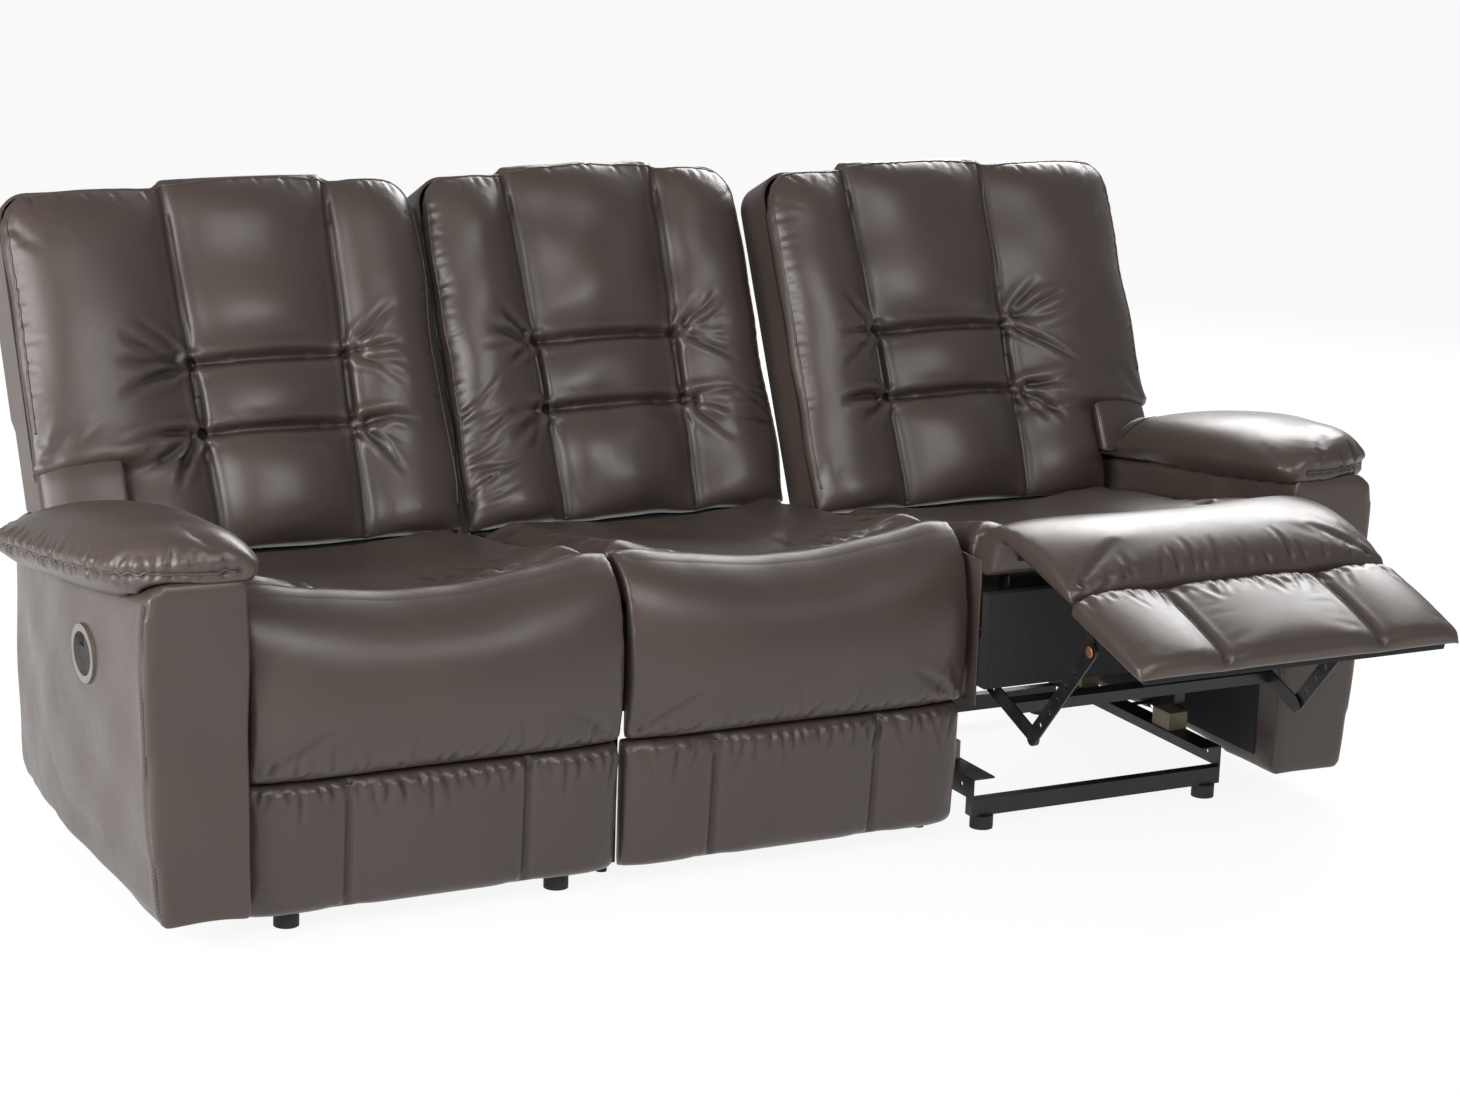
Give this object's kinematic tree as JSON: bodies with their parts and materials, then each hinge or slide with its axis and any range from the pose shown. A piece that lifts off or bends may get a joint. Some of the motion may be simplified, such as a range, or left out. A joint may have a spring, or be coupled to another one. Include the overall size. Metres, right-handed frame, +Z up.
{
  "type": "reclining sofa",
  "caption": "Reclining sofa with padded arms and channelled backs; the end seats slide forward as their footrests swing up, and their backs lean back.",
  "frame": {"origin": "on the floor, at the middle of the footprint, with the left recliner closed and the right one open", "axes": "+Z up, -Y towards the front, +X to the right of someone looking at the sofa's front"},
  "size_m": [2.1954, 1.4161, 0.9757],
  "materials": {
    "leather": "satin faux leather",
    "timber": "raw plywood and pine",
    "black_steel": "black semi-gloss paint",
    "spring_steel": "drawn wire",
    "pin_steel": "zinc plated",
    "nylon": "natural nylon",
    "black_plastic": "moulded",
    "cable_sleeve": "smooth sleeve"
  },
  "bodies": {
    "base": {"base_cross_rails": "black_steel", "base_side_rails": "black_steel", "centre_back_brackets": "black_steel", "centre_back_cushion": "leather", "centre_back_frame": "timber", "centre_back_panel": "leather", "centre_chaise_pad": "leather", "centre_lower_panel": "leather", "centre_seat_box": "timber", "centre_seat_cushion": "leather", "centre_seat_springs": "spring_steel", "connector_bars": "black_steel", "feet": "black_plastic", "left_arm_cover": "leather", "left_arm_frame": "timber", "left_arm_pillow": "leather", "left_handle_bezel": "black_plastic", "left_release_cable": "cable_sleeve", "right_arm_cover": "leather", "right_arm_frame": "timber", "right_arm_pillow": "leather", "right_handle_bezel": "black_plastic", "right_release_cable": "cable_sleeve"},
    "left_seat": {"left_glides": "nylon", "left_pivot_pins": "pin_steel", "left_seat_box": "timber", "left_seat_cushion": "leather", "left_seat_springs": "spring_steel", "left_side_plates": "black_steel"},
    "left_back": {"left_back_brackets": "black_steel", "left_back_cushion": "leather", "left_back_frame": "timber", "left_back_panel": "leather"},
    "left_footrest": {"left_chaise_pad": "leather", "left_footrest_boards": "timber", "left_footrest_brackets": "black_steel", "left_lower_panel": "leather"},
    "left_drive": {"left_drive_links": "black_steel", "left_torque_tube": "black_steel"},
    "left_front_links": {"left_front_links": "black_steel"},
    "left_handle": {"left_handle_lever": "black_plastic"},
    "right_seat": {"right_glides": "nylon", "right_pivot_pins": "pin_steel", "right_seat_box": "timber", "right_seat_cushion": "leather", "right_seat_springs": "spring_steel", "right_side_plates": "black_steel"},
    "right_back": {"right_back_brackets": "black_steel", "right_back_cushion": "leather", "right_back_frame": "timber", "right_back_panel": "leather"},
    "right_footrest": {"right_chaise_pad": "leather", "right_footrest_boards": "timber", "right_footrest_brackets": "black_steel", "right_lower_panel": "leather"},
    "right_drive": {"right_drive_links": "black_steel", "right_torque_tube": "black_steel"},
    "right_front_links": {"right_front_links": "black_steel"},
    "right_handle": {"right_handle_lever": "black_plastic"}
  },
  "joints": [
    {"name": "left_seat_slide", "type": "slide", "parent": "base", "child": "left_seat", "axis": [0, -1, 0], "range_m": [0, 0.1]},
    {"name": "left_footrest_open", "type": "hinge", "parent": "left_seat", "child": "left_footrest", "pos_m": [-0.59, -0.166, 0.475], "axis": [-1, 0, 0], "range_deg": [0, 75]},
    {"name": "left_drive_swing", "type": "hinge", "parent": "left_seat", "child": "left_drive", "pos_m": [-0.59, -0.016, 0.297], "axis": [-1, 0, 0], "range_deg": [0, 75]},
    {"name": "left_front_link_swing", "type": "hinge", "parent": "left_footrest", "child": "left_front_links", "pos_m": [-0.59, -0.146, 0.212], "axis": [-1, 0, 0], "range_deg": [-75, 0]},
    {"name": "left_back_recline", "type": "hinge", "parent": "left_seat", "child": "left_back", "pos_m": [-0.59, 0.414, 0.315], "axis": [-1, 0, 0], "range_deg": [0, 30]},
    {"name": "right_seat_slide", "type": "slide", "parent": "base", "child": "right_seat", "axis": [0, -1, 0], "range_m": [-0.1, 0]},
    {"name": "right_footrest_open", "type": "hinge", "parent": "right_seat", "child": "right_footrest", "pos_m": [0.59, -0.266, 0.475], "axis": [-1, 0, 0], "range_deg": [-75, 0]},
    {"name": "right_drive_swing", "type": "hinge", "parent": "right_seat", "child": "right_drive", "pos_m": [0.59, -0.116, 0.297], "axis": [-1, 0, 0], "range_deg": [-75, 0]},
    {"name": "right_front_link_swing", "type": "hinge", "parent": "right_footrest", "child": "right_front_links", "pos_m": [0.59, -0.51486, 0.38761], "axis": [-1, 0, 0], "range_deg": [0, 75]},
    {"name": "right_back_recline", "type": "hinge", "parent": "right_seat", "child": "right_back", "pos_m": [0.59, 0.314, 0.315], "axis": [-1, 0, 0], "range_deg": [0, 30]},
    {"name": "left_handle_pull", "type": "hinge", "parent": "base", "child": "left_handle", "pos_m": [-1.03966, -0.018, 0.385], "axis": [0, 0, 1], "range_deg": [0, 32], "stiffness_Nm_per_rad": 0.4},
    {"name": "right_handle_pull", "type": "hinge", "parent": "base", "child": "right_handle", "pos_m": [1.03966, -0.018, 0.385], "axis": [0, 0, -1], "range_deg": [0, 32], "stiffness_Nm_per_rad": 0.4}
  ],
  "couplings": [
    {"joint": "left_footrest_open", "follows": "left_seat_slide", "rad_per_m": 13.09},
    {"joint": "left_drive_swing", "follows": "left_seat_slide", "rad_per_m": 13.09},
    {"joint": "left_front_link_swing", "follows": "left_seat_slide", "rad_per_m": -13.09},
    {"joint": "right_footrest_open", "follows": "right_seat_slide", "rad_per_m": 13.09},
    {"joint": "right_drive_swing", "follows": "right_seat_slide", "rad_per_m": 13.09},
    {"joint": "right_front_link_swing", "follows": "right_seat_slide", "rad_per_m": -13.09}
  ]
}
